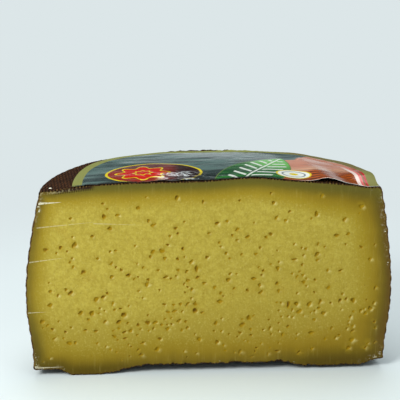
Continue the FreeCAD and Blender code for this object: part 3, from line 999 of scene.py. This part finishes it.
def label_finish():
    """Varnished print: slate field, olive border, crimson disc, green leaf, white seal and orange flower,
    with painted glare towards the rear and painted shade on the curled right end.
    """
    material, shader, position = start_finish("label")
    noise = position.noise
    x, y, _ = position.axes()
    yellow, white = (218, 196, 20), (226, 230, 222)

    # Horizontal streaks of painted glare run across the slate, the green and the orange; the slate is paler
    # at the left end and to the rear with painted glare that stands in for the reflected surround.
    streaks = position.stretched(0.3, 1, 1).noise(0.14, 3).ease(0.34, 0.68)
    painted_glare = y.ease(4, 32).most(x.ease(-50, -62))
    near_cut = streaks.mix(paint(58, 72, 70), paint(26, 36, 36))
    colour = painted_glare.mix(near_cut, streaks.mix(paint(92, 116, 112), paint(44, 60, 60)))

    from_flower, way = away_from(x - 94, y - 2)
    petals = from_flower - abs((way * 9).cosine()) * 5
    veins = (way * 54 + noise(0.08, 2) * 5).sine().ease(-0.6, 0.8)
    veins = veins * noise(0.35, 4).ease(0.16, 0.50)
    flower = layered(paint(168, 78, 18), (
        (veins * from_flower.ease(60, 46) * 0.9, (70, 32, 12)),
        # Painted reflection: the orange paler and pinker to the rear, and a pale sheen band in front of it.
        (y.ease(22, 32) * (0.7 + streaks * 0.3) * 0.92, (194, 138, 118)),
        (band(y, 21, 29, 4) * (0.6 - streaks * 0.3), (228, 186, 156)),
        (band(petals, 62.4, 63.6, 0.3) * y.ease(66, 40), (224, 160, 130)),
    ))

    inside, along, off = leaf(x, y, (3, -34), (45, 56), 17.5)
    green = streaks.mix(paint(42, 118, 46), paint(20, 66, 36))
    # Painted highlight: the green lighter towards the right rear.
    green = (x.ease(18, 34) * y.ease(16, 38)).mix(green, paint(100, 178, 78))
    step = (along - off * 0.8) / 9
    vein = abs(step.math("FRACT", step) - 0.5).ease(0.17, 0.12) * band(off, 1.6, 11) * inside.ease(1.5, 3)
    rib = off.ease(0.8, 0.4) * inside.ease(0.5, 2)
    seal = away_from(x - 46, y - 12.5)[0]

    disc_x, disc_y = x + 29.5, y - 18.5
    disc = (disc_x * disc_x * 0.72 + disc_y * disc_y) ** 0.5
    ground = disc_x.ease(4, 16).mix(paint(140, 40, 26), paint(44, 20, 20))
    ground = (disc_y.ease(4, 14) * disc_x.ease(14, 2)).mix(ground, paint(96, 50, 52))
    rosette, way = away_from(disc_x + 6, disc_y)
    rosette = rosette / ((way * 8).cosine() * 0.14 + 0.86)
    colour = layered(colour, (
        (petals.ease(65.2, 64.6), flower),
        (inside.ease(-0.6, -0.2), (96, 118, 58)),
        (inside.ease(0, 0.4), green),
        (vein.most(rib) * 0.9, white),
        (seal.ease(9.8, 9.5), yellow),
        (seal.ease(8.8, 8.5), white),
        (band(seal, 5.6, 6.6, 0.2), (120, 130, 134)),
        (seal.ease(2.6, 2.2), yellow),
        (disc.ease(22.6, 22.2), yellow),
        (disc.ease(21.4, 21), ground),
        (rosette.ease(15.6, 15.2), yellow),
        (rosette.ease(14.3, 13.9), (192, 28, 16)),
        (band(rosette, 4.6, 5.8, 0.15), yellow),
    ))

    inset = attribute(position, "inset")
    right_front = x.ease(66, 72) * y.ease(40, 24)
    for inner, outer, tint in (
        (-0.6, 1.4, (172, 44, 46)),
        (1.4, 2.2, (122, 104, 70)),
        (2.2, 3.8, (212, 108, 104)),
        (3.8, 5.8, (232, 208, 200)),
    ):
        line = band(inset, border_width + inner, border_width + outer, 0.2)
        colour = layered(colour, ((line * right_front, tint),))
    wider = border_width + y.ease(30, 76) * x.ease(30, -30) * 3.6 + y.ease(20, 60) * x.ease(30, 60) * 2
    border = (inset - wider).ease(0.2, -0.2)
    # Painted shade: the border browner where the right end curls down away from the light.
    curl_shade = x.ease(36, 60) * (y.ease(16, 34) * 0.5 + 0.3)
    crush = position.stretched(0.5, 1, 1).noise(0.22, 4, 0.6)
    near = y.ease(23, 15) * band(x, -27, -5, 4)
    # Darker along the cut edge: partly stain on the paper, partly painted shade where the edge turns down.
    edge_stain_and_shade = y.ease(2.6, 0.4) * x.ease(46, 34) * noise(0.5, 2).ease(0.25, 0.55)
    colour = layered(colour, (
        (border, curl_shade.mix(paint(126, 130, 62), paint(104, 88, 34))),
        (crush.ease(0.54, 0.44) * near * 0.92, (26, 16, 16)),
        # Pale streaks on the crumple: partly scuffed print, partly painted glints on its creases.
        (band(crush, 0.55, 0.60, 0.02) * near * 0.85, (204, 212, 214)),
        (edge_stain_and_shade * 0.85, (24, 24, 24)),
    ))
    printed = attribute(position, "printed").ease(0.55, 0.95).most(x.ease(54, 44) * 0.94)
    connect(shader, Base_Color=printed.mix(paint(224, 222, 214), colour))
    gloss = printed * (0.44 - border * 0.34 - band(x + y * 0.1, 50, 62, 4) * 0.16)
    connect(shader, Roughness=0.56 - gloss + position.stretched(0.3, 1, 1).noise(0.35, 3) * 0.14)
    wrinkle = position.stretched(0.4, 1, 1).noise(0.30, 4) + noise(1.5, 3) * 0.12
    connect(shader, Normal=wrinkle.relief(0.15, 0.0007), Specular_IOR_Level=0.32)
    return material


label.data.materials.append(label_finish())
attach(label, "root")
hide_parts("label")


# ------------------------------
# Studio
# A plain pale table, a soft lamp high on the left in front, a weaker one on the right and one
# above, an even pale surround, and the camera above the rim and left of the middle of the cut.
# ------------------------------

pale = paint(220, 230, 232)


def make_floor():
    """One wide square of pale table: lit plainly round the cheese, and seen as pale ground further off."""
    half = 9000
    corners = np.array([(-half, -half, 0), (half, -half, 0), (half, half, 0), (-half, half, 0)])
    floor = make_piece("floor", corners, [np.array([[0, 1, 2, 3]])], {})
    material, shader, position = start_finish("floor")
    connect(shader, Base_Color=pale, Roughness=0.9, Specular_IOR_Level=0)
    ground = position.node("Emission", None, {"Color": pale, "Strength": 1})
    away = position.node("VectorMath", {"operation": "LENGTH"}, {0: position}, output=1)
    seen = away.node("LightPath").most(away.node("LightPath", output=3))
    paleness = (away.ease(96, 150) * 0.3 + away.ease(110, 400) * 0.7) * seen
    both = away.node("MixShader", None, {0: paleness, 2: ground})
    tree = material.node_tree
    tree.links.new(shader.outputs[0], both.socket.node.inputs[1])
    tree.links.new(both.socket, tree.nodes["Material Output"].inputs["Surface"])
    floor.data.materials.append(material)


make_floor()


def make_lamp(name, place, target, size, power, colour):
    """A square soft lamp that faces the target; places in metres."""
    lamp = bpy.data.lights.new(name, "AREA")
    lamp.size, lamp.energy, lamp.color = size, power, colour
    holder = bpy.data.objects.new(name, lamp)
    holder.location = place
    holder.rotation_euler = (Vector(target) - Vector(place)).to_track_quat("-Z", "Y").to_euler()
    holder.visible_camera = False
    bpy.context.scene.collection.objects.link(holder)


make_lamp("key", (-0.50, -0.54, 0.60), (0, -0.03, 0.05), 0.32, 6.6, (1, 0.99, 0.96))
make_lamp("fill", (0.8, -0.9, 1.1), (0, 0, 0.05), 0.7, 2.2, (0.97, 0.99, 1))
make_lamp("top", (0.05, 0.35, 0.95), (0, 0, 0.1), 0.8, 5, (0.98, 0.99, 1))

surround = bpy.data.worlds.new("surround")
surround.use_nodes = True
background = surround.node_tree.nodes["Background"]
sky = Wire(background.outputs[0]).node("TexCoord")
upward = sky.axes()[2]
mirrored = sky.node("LightPath", output=3) * (1 - upward.ease(0, 0.17) * 0.95)
lit = sky.node("LightPath", output=2) * (0.36 + upward.ease(0, 0.35) * 0.14)
strength = sky.node("LightPath").most(mirrored).most(lit)
surround.node_tree.links.new(strength.socket, background.inputs["Strength"])
background.inputs["Color"].default_value = pale
bpy.context.scene.world = surround

camera = bpy.data.objects.new("camera", bpy.data.cameras.new("camera"))
camera.location = (-0.0425, -0.6263, 0.2621)
aim = Vector((-0.0056, cut_y * MM, 0.0991))
camera.rotation_euler = (aim - camera.location).to_track_quat("-Z", "Y").to_euler()
camera.data.lens = 101.84
camera.data.sensor_width = 36
camera.data.clip_start = 0.05
camera.data.clip_end = 50
bpy.context.scene.collection.objects.link(camera)
bpy.context.scene.camera = camera
bpy.context.scene.view_settings.view_transform = "Standard"
